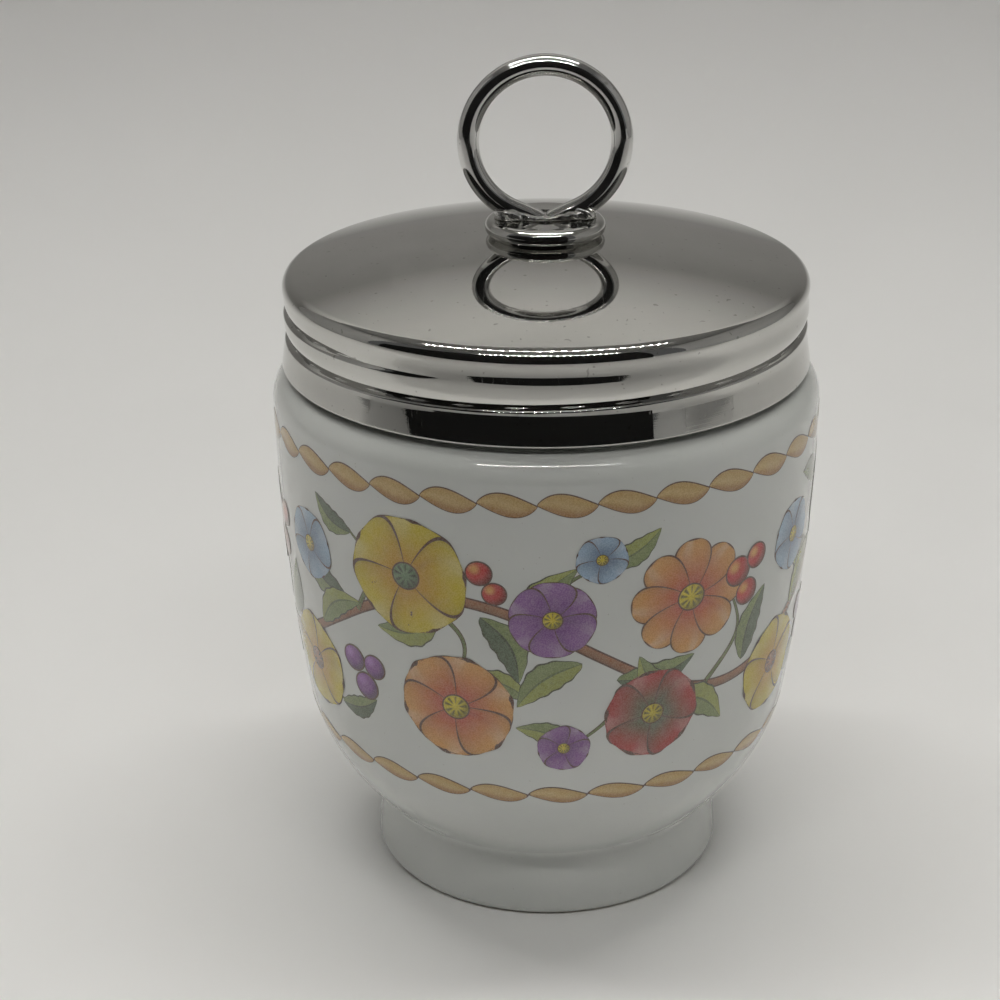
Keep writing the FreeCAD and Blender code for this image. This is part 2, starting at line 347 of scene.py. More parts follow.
def helix_phases(phase, span):
    """The turns of a thread that pass each phase, as phases along the thread."""
    first = math.floor((span[0] - THREAD_FADE) / FULL_TURN) - 1
    last = math.ceil((span[1] + THREAD_FADE) / FULL_TURN) + 1
    return [phase + FULL_TURN * k for k in range(first, last + 1)]


def thread_strength(along, span):
    """1 inside the thread's span, fading to 0 at both ends."""
    rise = smooth((along - span[0] + THREAD_FADE) / THREAD_FADE)
    fall = smooth((span[1] + THREAD_FADE - along) / THREAD_FADE)
    return rise * fall


def groove_shift(z, phase):
    """How far the rolled groove pushes the skirt's outside inwards."""
    total = 0.0
    for along in helix_phases(phase, LID_THREAD):
        u = z - GROOVE_Z - PITCH * along / FULL_TURN
        upper = np.clip(1.0 - u / GROOVE_UPPER_SIDE, 0, 1) ** 2
        lower = np.clip(1.0 + u / GROOVE_LOWER_SIDE, 0, 1) ** 1.5
        total = total + GROOVE_DEPTH * np.where(u >= 0, upper, lower) * thread_strength(along, LID_THREAD)
    return -total


def ridge_shift(z, phase, front_z, height, crest, span):
    """How far a thread ridge stands out of its wall."""
    total = 0.0
    for along in helix_phases(phase, span):
        u = np.abs(z - front_z - PITCH * along / FULL_TURN)
        rise = np.clip((crest / 2.0 + height * THREAD_FLANK - u) / (height * THREAD_FLANK), 0, 1)
        total = np.maximum(total, height * smooth(rise) * thread_strength(along, span))
    return total


def make_cup():
    """The cup and the points of its outside, which the print follows."""
    fine = (SHOULDER_Z + NECK_MARGIN, RIM_Z - NECK_MARGIN, NECK_STEP)
    rim_middle = (NECK_RADIUS - NECK_WALL / 2.0, RIM_Z, 0)
    outside = sample(cup_outside() + [rim_middle], CUP_OUTSIDE_STEP, fine)
    inside = sample([rim_middle] + cup_inside(), CUP_INSIDE_STEP)[1:]
    outline = np.vstack([outside, inside])
    on_neck = (np.arange(len(outline)) < len(outside)) & (outline[:, 1] > SHOULDER_Z + NECK_START)

    def shift(row, z, phase):
        rise = ridge_shift(z, phase, GROOVE_Z + THREAD_STEP, NECK_RIDGE_HEIGHT, NECK_RIDGE_CREST,
                           NECK_THREAD)
        return np.where(on_neck[row] & (z < RIM_Z - RIM_ROUND), rise, 0.0)

    return lathe("porcelain_cup", outline, shift), outside


def lid_outside():
    """Outer corners of the lid, from the rivet's hole to the hem."""
    return [(RIVET_HOLE_RADIUS, SEAT_Z, 0), (BOSS_RADIUS, SEAT_Z, 0), DOME_KNEE, LID_SHOULDER,
            (SKIRT_RADIUS - WAIST_DEPTH, TOP_Z - WAIST_DROP, WAIST_ROUND),
            (SKIRT_RADIUS, TOP_Z - BAND_DROP, BAND_ROUND),
            (SKIRT_RADIUS - LOWER_BAND_INSET, TOP_Z - LOWER_BAND_DROP, BAND_ROUND),
            (SKIRT_RADIUS + HEM_FLARE, HEM_Z, 0)]


def make_lid():
    """The sheet lid, with the rolled groove outside and the ridge it makes inside."""
    outer = lid_outside()
    inner = offset_chain(outer, -SHEET)
    inner[-1] = (inner[-1][0], HEM_Z, 0)
    fine = (HEM_Z, TOP_Z - LID_SHOULDER_ROUND, SKIRT_STEP)
    hem_out, hem_in = outer[-1], inner[-1]
    out_points = sample(outer[:-1] + [(hem_out[0], hem_out[1] + HEM_ROUND, 0)], LID_STEP, fine)
    hem_middle = (hem_out[0] + hem_in[0]) / 2.0
    turn = [(hem_middle + SHEET / 2.0 * cos(a), HEM_Z + HEM_ROUND - HEM_ROUND * sin(a))
            for a in (20, 45, 70, 90, 110, 135, 160)]
    in_points = sample([(hem_in[0], hem_in[1] + HEM_ROUND, 0)] + inner[-2::-1], LID_STEP, fine)
    outline = np.vstack([out_points, turn, in_points])
    row_number = np.arange(len(outline))
    on_skirt = outline[:, 0] >= SKIRT_RADIUS - LID_SHOULDER_ROUND
    outer_side = (on_skirt & (row_number < len(out_points)))[::-1]
    inner_side = (on_skirt & (row_number >= len(out_points) + len(turn)))[::-1]

    def shift(row, z, phase):
        groove = groove_shift(z, phase)
        ridge = -ridge_shift(z, phase, GROOVE_Z, GROOVE_DEPTH, LID_RIDGE_CREST, LID_THREAD)
        return np.where(outer_side[row], groove, np.where(inner_side[row], ridge, 0.0))

    return lathe("polished_lid", outline[::-1], shift, steps=2 * LATHE_STEPS, sharp_angle=50.0)


def make_boss():
    """The turned boss, with a rolled rim, a dished top and a recess for the rivet's head."""
    floor_z = SEAT_Z + BOSS_WEB
    corners = [(RIVET_HOLE_RADIUS, SEAT_Z, 0), (BOSS_RADIUS - BOSS_FOOT_SET, SEAT_Z, 0),
               (BOSS_RADIUS, SEAT_Z + BOSS_FOOT_RISE, BOSS_RIM_ROUND),
               (BOSS_RADIUS, BOSS_TOP_Z, BOSS_RIM_ROUND),
               (BOSS_RADIUS - 2.0 * BOSS_RIM_ROUND, BOSS_TOP_Z - BOSS_DISH, BOSS_RIM_ROUND),
               (HEAD_RECESS_RADIUS, BOSS_TOP_Z - BOSS_DISH, 0), (HEAD_RECESS_RADIUS, floor_z, 0),
               (RIVET_HOLE_RADIUS, floor_z, 0)]
    return lathe("lid_boss_turned", sample(corners, 0.5), steps=160)


def make_ring():
    """The wire ring. Its ends run straight into a shallow V, rounded off, and almost meet at the bottom."""
    bend = RING_INNER_RADIUS + WIRE_RADIUS
    half_gap = math.degrees(RING_END_GAP / 2.0 / bend)
    along_count, around_count = 220, 40
    end_angle = math.degrees(WIRE_END_ROUND / bend)
    head = []
    for f in (0.0, 0.15, 0.4, 0.7):
        narrowing = WIRE_END_ROUND * (1.0 - math.sqrt(1.0 - (1.0 - f) ** 2))
        head.append((half_gap + end_angle * f, WIRE_RADIUS - narrowing))
    tail = [(FULL_TURN - t, radius) for t, radius in reversed(head)]
    turns = [half_gap + (FULL_TURN - 2.0 * half_gap) * i / along_count for i in range(along_count + 1)]
    between = [t for t in turns if half_gap + end_angle < t < FULL_TURN - half_gap - end_angle]
    rows = head + [(t, WIRE_RADIUS) for t in between] + tail
    points = []
    for t, radius in rows:
        out = np.array([sin(t), 0.0, -cos(t)])
        off_bottom = min(t, FULL_TURN - t)
        dip = 0.0
        if off_bottom < RING_V_ANGLE:
            dip = bend * (1.0 / cos(off_bottom - RING_V_ANGLE) - 1.0)
        for k in range(around_count):
            a = FULL_TURN * k / around_count
            points.append(out * (bend + dip + radius * cos(a)) + np.array([0.0, radius * sin(a), 0.0]))
    points = np.array(points) + np.array([0.0, 0.0, RING_Z])
    points[:, 2] = np.maximum(points[:, 2], RING_Z - bend - WIRE_RADIUS)
    faces = ring_faces(len(rows), around_count, False)
    faces.append(tuple(range(around_count)))
    faces.append(tuple(reversed(range((len(rows) - 1) * around_count, len(rows) * around_count))))
    return new_object("wire_ring", points, faces, 60.0)


def make_braze():
    """The melted braze under the ring: two lumpy lobes that shrink to a pinch between the wire's ends."""
    rng = np.random.default_rng(7)
    waves = [(rng.uniform(1.5, 7.0), rng.uniform(1.0, 5.5), rng.uniform(1.0, 6.0), rng.uniform(0, 6.28),
              rng.uniform(0.015, 0.045)) for _ in range(18)]
    rows, around = 170, 72
    low = BOSS_TOP_Z - SADDLE_SINK
    half = SADDLE_LENGTH / 2.0
    points = []
    for i in range(rows):
        x = -half * math.cos(math.pi * (i + 0.5) / rows)
        share = abs(x) / half
        lobe = float(smooth(share * 1.25))
        end = (1.0 - share ** 9) ** 0.3
        high = BOSS_TOP_Z + SADDLE_PINCH_HEIGHT + SADDLE_LOBE_HEIGHT * lobe
        width = SADDLE_WIDTH / 2.0 * (SADDLE_PINCH_SHARE + (1.0 - SADDLE_PINCH_SHARE) * lobe)
        middle, tall = (low + high) / 2.0, (high - low) / 2.0
        for k in range(around):
            a = 2.0 * math.pi * k / around
            c, s = math.cos(a), math.sin(a)
            y = width * end * math.copysign(abs(c) ** 0.7, c)
            z = middle + tall * end * math.copysign(abs(s) ** 0.6, s)
            lump = sum(h * math.sin(fx * x + fy * y * 1.3 + fz * z + p) for fx, fy, fz, p, h in waves)
            if z > BOSS_TOP_Z:
                y += lump * c * lobe
                z += 0.5 * lump * s * lobe
            points.append((x, y, z))
    faces = ring_faces(rows, around, False)
    faces.append(tuple(range(around)))
    faces.append(tuple(reversed(range((rows - 1) * around, rows * around))))
    return new_object("braze_saddle", points, faces, 70.0)


# Print on the cup

# The colour where the edge of the print meets the glaze
UNDER_PRINT = np.array([0.70, 0.71, 0.69])


class Print:
    """Collects coloured patches, laid on the cup's outside by arc length and angle."""

    def __init__(self, outside):
        above_foot = (outside[:, 1] > FOOT_HEIGHT + PRINT_MARGIN) & (outside[:, 0] > FOOT_RADIUS)
        keep = outside[above_foot & (outside[:, 1] < SHOULDER_Z - PRINT_MARGIN)]
        self.r, self.z = keep[:, 0], keep[:, 1]
        steps = np.hypot(np.diff(self.r), np.diff(self.z))
        self.t = np.concatenate([[0.0], np.cumsum(steps)])
        slope_r, slope_z = np.gradient(self.r, self.t), np.gradient(self.z, self.t)
        self.nr, self.nz = slope_z, -slope_r
        self.zero = float(np.interp(LOWER_ROPE_Z, self.z, self.t))
        self.top = float(np.interp(UPPER_ROPE_Z, self.z, self.t)) - self.zero
        self.points, self.faces, self.colours = [], [], []
        self.count = 0

    def place(self, s, t, lift):
        """Points of the print: s is millimetres round the cup at PRINT_RADIUS, t is millimetres up its
        side from the lower rope, and lift is how far the points lie off the glaze."""
        t = np.asarray(t) + self.zero
        r = np.interp(t, self.t, self.r) + lift * np.interp(t, self.t, self.nr)
        z = np.interp(t, self.t, self.z) + lift * np.interp(t, self.t, self.nz)
        angle = np.asarray(s) / PRINT_RADIUS - math.pi / 2.0
        return np.stack([r * np.cos(angle), r * np.sin(angle), z], -1)

    def add(self, grid, colour, layer):
        """A patch from a grid (rows, columns, 2) and its colours (rows, columns, 3), closed underneath."""
        rows, columns = grid.shape[:2]
        top = self.place(grid[..., 0], grid[..., 1], PRINT_LIFT + LAYER_LIFT * layer).reshape(-1, 3)
        index = np.arange(rows * columns).reshape(rows, columns)
        border = list(index[0]) + list(index[1:, -1]) + list(index[-1, -2::-1]) + list(index[-2:0:-1, 0])
        flat = grid.reshape(-1, 2)[border]
        sunk = self.place(flat[:, 0], flat[:, 1], -PRINT_SINK)
        base = self.count
        turned = signed_area(flat) < 0
        for i in range(rows - 1):
            for k in range(columns - 1):
                quad = (index[i, k], index[i, k + 1], index[i + 1, k + 1], index[i + 1, k])
                self.faces.append(tuple(base + int(q) for q in (quad[::-1] if turned else quad)))
        low = base + rows * columns
        n = len(border)
        for k in range(n):
            m = (k + 1) % n
            wall = (base + int(border[m]), base + int(border[k]), low + k, low + m)
            self.faces.append(wall[::-1] if turned else wall)
        under = tuple(low + k for k in range(n))
        self.faces.append(under if turned else under[::-1])
        self.points += [top, sunk]
        flat_colour = colour.reshape(-1, 3)
        self.colours += [flat_colour, np.broadcast_to(UNDER_PRINT, (n, 3))]
        self.count = low + n

    def finish(self, name):
        obj = new_object(name, np.vstack(self.points), self.faces, 60.0)
        layer = obj.data.color_attributes.new("print", "FLOAT_COLOR", "POINT")
        colours = np.vstack(self.colours)
        rgba = np.hstack([colours, np.ones((len(colours), 1))])
        layer.data.foreach_set("color", rgba.astype(np.float32).ravel())
        self.points, self.faces, self.colours, self.count = [], [], [], 0
        return obj


def signed_area(flat):
    """Twice the area inside a flat outline, above 0 where it runs anticlockwise."""
    x, y = flat[:, 0], flat[:, 1]
    return float(np.sum(x * np.roll(y, -1) - np.roll(x, -1) * y))


OUTLINE = np.array([0.085, 0.026, 0.016])
LEAF_OUTLINE = np.array([0.05, 0.06, 0.03])
PETAL_SHINE = np.array([0.95, 0.93, 0.88])
ROPE_BROWN = np.array([0.40, 0.205, 0.065])
ROPE_GOLD = np.array([0.56, 0.365, 0.115])
ROPE_PALE = np.array([0.68, 0.48, 0.215])
ROPE_INK = 0.11
ROPE_SWELL = 0.38


def mix(a, b, f):
    """a where f is 0, b where f is 1."""
    f = np.asarray(f)[..., None]
    return a * (1.0 - f) + b * f


def draw_rope(sheet, count, phase, centre_t, tall, name):
    """A twisted rope of leaning turns. Each turn's top edge runs on as the bottom edge of the next one."""
    pitch = ROUND_CUP / count
    lean = math.log(0.5) / math.log(ROPE_SWELL)
    u = np.linspace(0.0, 1.0, 44)
    v = np.linspace(0.0, 1.0, 11)[None, :]
    top = tall / 2.0 * np.sin(math.pi * u ** lean)
    bottom = -top[::-1]
    for i in range(count):
        start = phase / FULL_TURN * ROUND_CUP + i * pitch
        s = np.repeat((start + pitch * (1.03 * u - 0.015))[:, None], v.shape[1], 1)
        t = centre_t + bottom[:, None] * (1.0 - v) + top[:, None] * v
        sheet.add(np.stack([s, t], -1), np.broadcast_to(OUTLINE, t.shape + (3,)), 1)
        keep = (top - bottom) > 3.2 * ROPE_INK
        high, low = (top - ROPE_INK * 1.25)[keep], (bottom + ROPE_INK * 0.8)[keep]
        s, uu = s[keep], u[keep][:, None]
        t = centre_t + low[:, None] * (1.0 - v) + high[:, None] * v
        shade = mix(ROPE_BROWN, ROPE_GOLD, smooth(v * 1.5 + 0.25 - 0.5 * uu))
        shine = smooth(1.0 - np.abs(v - 0.62 + 0.25 * uu) * 2.6) * smooth(1.4 - uu)
        shade = mix(shade, ROPE_PALE, 0.7 * shine)
        sheet.add(np.stack([s, t], -1), shade, 2)
    return sheet.finish(name)


def both_sides(levels, middle=()):
    """Levels across a patch, mirrored about its middle line."""
    return np.array([-level for level in reversed(levels)] + list(middle) + list(levels))


def along(s, t, angle, x, y):
    """Points x along a direction and y to its left, from (s, t)."""
    a = math.radians(angle)
    return np.stack([s + x * math.cos(a) - y * math.sin(a), t + x * math.sin(a) + y * math.cos(a)], -1)


def leaf(sheet, s, t, angle, length, width, light, dark, layer, bend=0.12):
    """A leaf from its stalk at (s, t), pointing along angle, darker on one side, with veins."""
    u = np.linspace(0.0, 1.0, 30)[:, None]
    v = np.repeat(both_sides([0.065, 0.07, 0.2, 0.4, 0.65, 0.895, 0.9, 1.0])[None, :], len(u), 0)
    half = width / 2.0 * np.sin(math.pi * u ** 0.85) ** 0.85 * (1.0 + 0.05 * np.sin(u * 34.0))
    x = length * u + 0.0 * v
    y = v * half + bend * length * np.sin(math.pi * u) * 0.8
    colour = mix(dark, light, smooth(v * 4.0 + 0.5))
    vein_phase = ((u + 0.0 * v) * 7.0 - np.abs(v) * 1.6) % 1.0
    vein = smooth(1.0 - np.abs(vein_phase - 0.5) * 5.0) * (np.abs(v) < 0.86)
    colour = mix(colour, dark * 0.75, 0.45 * vein)
    colour = mix(colour, light * 1.25, 0.5 * smooth(u * 1.6 - 0.6) * (v > 0))
    colour = np.where((np.abs(v) < 0.068)[..., None], dark * 0.55, colour)
    ink = (np.abs(v) >= 0.9) | (u < 0.02) | (u > 0.985)
    colour = np.where(ink[..., None], LEAF_OUTLINE, colour)
    sheet.add(along(s, t, angle, x, y), np.clip(colour, 0, 1), layer)


def petal(sheet, s, t, angle, length, width, inner, outer, layer, notch):
    """A petal from the blossom's middle, broad near its tip, with streaks towards the middle."""
    u = 1.0 - 0.94 * (1.0 - np.linspace(0.0, 1.0, 28)[:, None]) ** 2
    v = np.repeat(both_sides([0.2, 0.45, 0.7, 0.915, 0.92, 1.0], [0.0])[None, :], len(u), 0)
    half = width / 2.0 * np.sin(math.pi / 2.0 * u ** 0.9) * np.sqrt(np.clip(1.0 - u ** 5, 0.0, 1.0) + 1e-4)
    x = length * u * (1.0 - 0.35 * notch * np.cos(math.pi * v) ** 2 * u ** 4) + 0.0 * v
    y = v * half
    colour = mix(inner, outer, smooth(u * 1.15 - 0.1) + 0.0 * v)
    streak = smooth(1.0 - np.abs((v * 5.0 + 0.3) % 1.0 - 0.5) * 4.0) * (1.0 - u)
    colour = mix(colour, inner * 0.6, 0.6 * streak)
    shine = smooth(1.0 - np.abs(v - 0.35) * 2.2) * smooth(u * 2.0 - 0.9)
    colour = mix(colour, PETAL_SHINE, 0.22 * shine)
    colour = mix(colour, outer * 0.55, 0.5 * smooth((np.abs(v) - 0.55) * 2.2))
    ink = (np.abs(v) >= 0.92) | (u > 0.975)
    colour = np.where(ink[..., None], OUTLINE, colour)
    sheet.add(along(s, t, angle, x, y), np.clip(colour, 0, 1), layer)


def disc(sheet, s, t, radius, light, base, dark, layer, spots=0):
    """A round berry or a blossom's middle, lit from the upper left."""
    rows = np.array([0.02, 0.2, 0.4, 0.6, 0.75, 0.88, 0.9, 1.0])[:, None]
    around = 40
    a = np.linspace(0.0, 2.0 * math.pi, around + 1)[None, :]
    x, y = rows * np.cos(a), rows * np.sin(a)
    lit = np.clip(1.0 - np.hypot(x + 0.35, y - 0.35) / 1.3, 0, 1)
    colour = mix(dark, base, smooth(lit * 2.2))
    colour = mix(colour, light, smooth(lit * 2.4 - 1.25))
    if spots:
        dots = (np.sin(a * spots) > 0.3) & (rows > 0.35) & (rows < 0.8)
        colour = np.where(dots[..., None], dark * 0.5, colour)
    colour = np.where((rows + 0.0 * a >= 0.9)[..., None], OUTLINE, colour)
    sheet.add(np.stack([s + radius * x, t + radius * y], -1), np.clip(colour, 0, 1), layer)


def stalk(sheet, path, width, colour, layer, taper=0.35):
    """A stalk along a path of points, thinner towards its end."""
    path = np.asarray(path, float)
    steps = np.hypot(*np.diff(path, axis=0).T)
    distance = np.concatenate([[0.0], np.cumsum(steps)])
    total = distance[-1]
    q = np.linspace(0.0, total, max(8, int(total / STALK_STEP)))
    s, t = np.interp(q, distance, path[:, 0]), np.interp(q, distance, path[:, 1])
    ds, dt = np.gradient(s), np.gradient(t)
    n = np.hypot(ds, dt) + 1e-9
    levels = np.array([-1.0, -0.72, -0.715, -0.2, 0.3, 0.715, 0.72, 1.0])[None, :]
    w = (width / 2.0 * (1.0 - (1.0 - taper) * (q / total)))[:, None]
    across_s, across_t = -(dt / n)[:, None] * w * levels, (ds / n)[:, None] * w * levels
    grid = np.stack([s[:, None] + across_s, t[:, None] + across_t], -1)
    knots = 0.75 + 0.25 * np.sin(q * 2.1)[:, None] + 0.0 * levels
    shade = mix(colour * 0.62, colour * 1.2, smooth((levels + 1.0) / 2.0) * knots)
    ink = (np.abs(levels) >= 0.72) & np.ones_like(w, bool)
    shade = np.where(ink[..., None], OUTLINE, shade)
    sheet.add(grid, np.clip(shade, 0, 1), layer)


def curve(points, samples=12):
    """A smooth path through given points."""
    p = np.asarray(points, float)
    p = np.vstack([2 * p[0] - p[1], p, 2 * p[-1] - p[-2]])
    out = []
    for i in range(1, len(p) - 2):
        for k in range(samples):
            f = k / samples
            a, b, c, d = p[i - 1], p[i], p[i + 1], p[i + 2]
            bend = (2 * a - 5 * b + 4 * c - d) * f * f
            twist = (3 * b - a - 3 * c + d) * f ** 3
            out.append(0.5 * (2 * b + (c - a) * f + bend + twist))
    out.append(p[-2])
    return np.array(out)


YELLOW = np.array([0.66, 0.53, 0.018])
AMBER = np.array([0.58, 0.30, 0.012])
PEACH = np.array([0.70, 0.34, 0.085])
BLUSH = np.array([0.50, 0.065, 0.035])
CRIMSON = np.array([0.42, 0.012, 0.016])
PLUM = np.array([0.17, 0.045, 0.24])
MAUVE = np.array([0.29, 0.125, 0.38])
SKY = np.array([0.36, 0.52, 0.70])
SLATE = np.array([0.13, 0.22, 0.36])
LIME = np.array([0.33, 0.37, 0.085])
LEAF = np.array([0.22, 0.29, 0.10])
PINE = np.array([0.075, 0.125, 0.065])
TWIG = np.array([0.36, 0.155, 0.075])

# The layout of one repeat: x is a share of its width, y is in millimetres above the band's middle
REPEATS = 3
FIRST_REPEAT = -0.42
VINE_WAVE = 6.2
VINE_WIDTH = 1.25
SHOOT_WIDTH = 0.7
STALK_STEP = 0.5
# Side shoots: (x, y) where they leave the vine, where they bend and where they end
SHOOTS = [((0.06, 2.2), (0.10, 8.0), (0.05, 11.5)), ((0.20, 6.0), (0.27, 1.5), (0.25, -4.5)),
          ((0.40, 3.2), (0.44, 8.5), (0.52, 11.0)), ((0.56, -2.4), (0.52, -7.5), (0.44, -11.5)),
          ((0.70, -6.0), (0.77, -0.5), (0.74, 5.5)), ((0.88, -4.4), (0.93, -9.5), (1.01, -11.0))]
# Leaves: x, y, direction in degrees, length, width
LEAVES = [(0.03, 3.0, 150, 8.5, 3.6), (0.12, 6.6, 20, 9.0, 3.8), (0.23, 3.8, 200, 8.0, 3.4),
          (0.30, 4.6, -60, 8.5, 3.6), (0.38, 2.2, 60, 9.5, 3.8), (0.47, -0.6, 215, 8.5, 3.6),
          (0.53, -3.0, 10, 8.8, 3.6), (0.62, -6.4, -25, 9.2, 3.9), (0.66, -6.6, 130, 8.2, 3.4),
          (0.79, -4.6, 65, 8.6, 3.6), (0.86, -4.4, -50, 9.0, 3.7), (0.95, -1.6, 40, 8.4, 3.4),
          (0.055, 11.0, 158, 6.2, 2.8), (0.50, 10.6, 35, 6.8, 2.8), (0.46, -11.2, 160, 6.8, 2.8),
          (0.98, -11.0, 20, 6.5, 2.8), (0.27, -3.0, -15, 7.0, 3.0), (0.75, 4.6, 165, 7.0, 3.0)]
LEAF_BENDS = [-0.14, 0.12, 0.18]
# Red berries, then purple ones: x, y, radius
RED_BERRIES = [(0.76, 6.6, 1.75), (0.785, 3.8, 1.6), (0.805, 7.6, 1.5), (0.30, 9.6, 1.4), (0.325, 7.4, 1.3)]
PURPLE_BERRIES = [(0.06, -7.2, 1.7), (0.085, -4.4, 1.5), (0.035, -4.2, 1.6)]


def blossom(sheet, s, t, radius, petals, inner, outer, eye, layer, start, notch, width=1.25):
    """An open blossom: petals in a ring, then the middle with its dots."""
    across = 2.0 * radius * math.tan(math.pi / petals) * width * 0.92
    for i in range(petals):
        angle = start + FULL_TURN * i / petals
        petal(sheet, s, t, angle, radius, across, inner, outer, layer + 0.8 * i, notch)
    disc(sheet, s, t, radius * 0.24, eye * 1.2, eye, eye * 0.45, layer + 0.8 * petals + 0.8, spots=9)


def garland(sheet):
    """A wavy vine with blossoms, leaves and berries that runs round the cup, in three repeats."""
    rng = random.Random(11)
    repeat = ROUND_CUP / REPEATS
    middle = sheet.top / 2.0
    for turn in range(REPEATS):
        s0 = (turn + FIRST_REPEAT) * repeat

        def at(x, y):
            return s0 + x * repeat, middle + y

        vine = [at(f / 12.0, VINE_WAVE * math.sin(2.0 * math.pi * f / 12.0)) for f in range(13)]
        stalk(sheet, curve(vine, 10), VINE_WIDTH, TWIG, 1, taper=1.0)
        for path in SHOOTS:
            stalk(sheet, curve([at(*p) for p in path], 8), SHOOT_WIDTH, LEAF * 0.8, 1)
        for i, (x, y, angle, length, width) in enumerate(LEAVES):
            light, dark = (LIME, LEAF) if i % 3 else (LEAF, PINE)
            turned = angle + rng.uniform(-6, 6)
            leaf(sheet, *at(x, y), turned, length, width, light, dark, 2 + i % 3, rng.choice(LEAF_BENDS))
        blossom(sheet, *at(0.17, 8.0), 6.6, 5, AMBER, YELLOW, PINE * 2.0, 6, 80.0, 0.12)
        blossom(sheet, *at(0.42, 4.6), 4.4, 6, PLUM, MAUVE, YELLOW, 6, 30.0, 0.0)
        blossom(sheet, *at(0.25, -6.6), 6.4, 6, BLUSH, PEACH, YELLOW, 7, 15.0, 0.18)
        blossom(sheet, *at(0.60, -7.8), 5.4, 5, PINE, CRIMSON, YELLOW * 0.8, 6, 100.0, 0.22)
        blossom(sheet, *at(0.66, 5.4), 6.6, 8, BLUSH, PEACH, YELLOW, 7, 0.0, 0.0, 1.05)
        blossom(sheet, *at(0.90, -7.6), 5.6, 5, AMBER, YELLOW, TWIG, 6, 60.0, 0.15)
        blossom(sheet, *at(0.93, 7.2), 4.0, 5, SLATE, SKY, YELLOW, 6, 90.0, 0.1)
        blossom(sheet, *at(0.50, 11.2), 2.6, 5, SLATE, SKY, YELLOW, 7, 20.0, 0.1)
        blossom(sheet, *at(0.44, -11.0), 2.8, 5, PLUM, MAUVE, YELLOW, 7, 50.0, 0.1)
        for i, (x, y, radius) in enumerate(RED_BERRIES):
            disc(sheet, *at(x, y), radius, PEACH * 1.1, CRIMSON * 1.3, CRIMSON * 0.45, 8 + i % 3)
        for i, (x, y, radius) in enumerate(PURPLE_BERRIES):
            disc(sheet, *at(x, y), radius, MAUVE * 1.5, PLUM * 1.3, PLUM * 0.5, 8 + i % 3)
    return sheet.finish("print_garland")


# Materials

class Nodes:
    """Small helper to write node trees."""

    def __init__(self, name):
        self.material = bpy.data.materials.new(name)
        self.material.use_nodes = True
        self.tree = self.material.node_tree
        self.shader = self.tree.nodes["Principled BSDF"]
        coords = self.tree.nodes.new("ShaderNodeTexCoord")
        self.coords = coords.outputs["Object"]

    def add(self, kind, inputs=None, **settings):
        node = self.tree.nodes.new(kind)
        for key, value in settings.items():
            setattr(node, key, value)
        for key, value in (inputs or {}).items():
            self.set(node.inputs[key], value)
        return node

    def set(self, socket, value):
        if isinstance(value, bpy.types.NodeSocket):
            self.tree.links.new(value, socket)
        else:
            socket.default_value = value

    def noise(self, scale, detail=3.0, roughness=0.55, coords=None):
        node = self.add("ShaderNodeTexNoise", {"Vector": coords or self.coords, "Scale": scale,
                                               "Detail": detail, "Roughness": roughness})
        return node.outputs["Fac"]

    def ramp(self, value, low, high, out_low=0.0, out_high=1.0):
        node = self.add("ShaderNodeMapRange", {"Value": value, "From Min": low, "From Max": high,
                                               "To Min": out_low, "To Max": out_high}, clamp=True)
        return node.outputs["Result"]

    def blend(self, factor, a, b):
        node = self.add("ShaderNodeMix", data_type="RGBA")
        self.set(node.inputs[0], factor)
        self.set(node.inputs[6], a)
        self.set(node.inputs[7], b)
        return node.outputs[2]

    def math(self, operation, a, b=0.0):
        node = self.add("ShaderNodeMath", operation=operation)
        self.set(node.inputs[0], a)
        self.set(node.inputs[1], b)
        return node.outputs[0]

    def bump(self, height, strength, distance, normal=None):
        node = self.add("ShaderNodeBump", {"Height": height, "Strength": strength, "Distance": distance})
        if normal:
            self.set(node.inputs["Normal"], normal)
        return node.outputs["Normal"]

    def principled(self, **values):
        for key, value in values.items():
            self.set(self.shader.inputs[key.replace("_", " ").title().replace("Ior", "IOR")], value)


def colour(r, g, b):
    return (r, g, b, 1.0)


def porcelain_material():
    """Glazed white porcelain: cloudy tone, rippled gloss, rare specks and a bare edge under the foot."""
    n = Nodes("glazed_porcelain")
    cloud = n.ramp(n.noise(60.0, 3.0), 0.3, 0.7)
    base = n.blend(cloud, colour(0.655, 0.676, 0.646), colour(0.690, 0.705, 0.678))
    specks = n.ramp(n.noise(2600.0, 1.0), 0.77, 0.80)
    base = n.blend(n.math("MULTIPLY", specks, 0.35), base, colour(0.30, 0.27, 0.22))
    position = n.add("ShaderNodeSeparateXYZ", {"Vector": n.coords}).outputs["Z"]
    uneven_height = n.math("ADD", position, n.math("MULTIPLY", n.noise(900.0), 0.0003))
    bare = n.ramp(uneven_height, 0.00035, 0.00055, 1.0, 0.0)
    base = n.blend(bare, base, colour(0.74, 0.71, 0.64))
    rough = n.ramp(n.noise(220.0, 4.0), 0.3, 0.75, 0.055, 0.12)
    rough = n.math("ADD", rough, n.math("MULTIPLY", bare, 0.5))
    ripple = n.bump(n.noise(140.0, 2.0), 0.12, 0.0004)
    fine = n.bump(n.noise(1500.0, 2.0), 0.03, 0.0001, ripple)
    n.principled(base_color=base, roughness=rough, ior=1.5, normal=fine)
    n.shader.inputs["Coat Weight"].default_value = 0.6
    n.shader.inputs["Coat Roughness"].default_value = 0.03
    return n.material


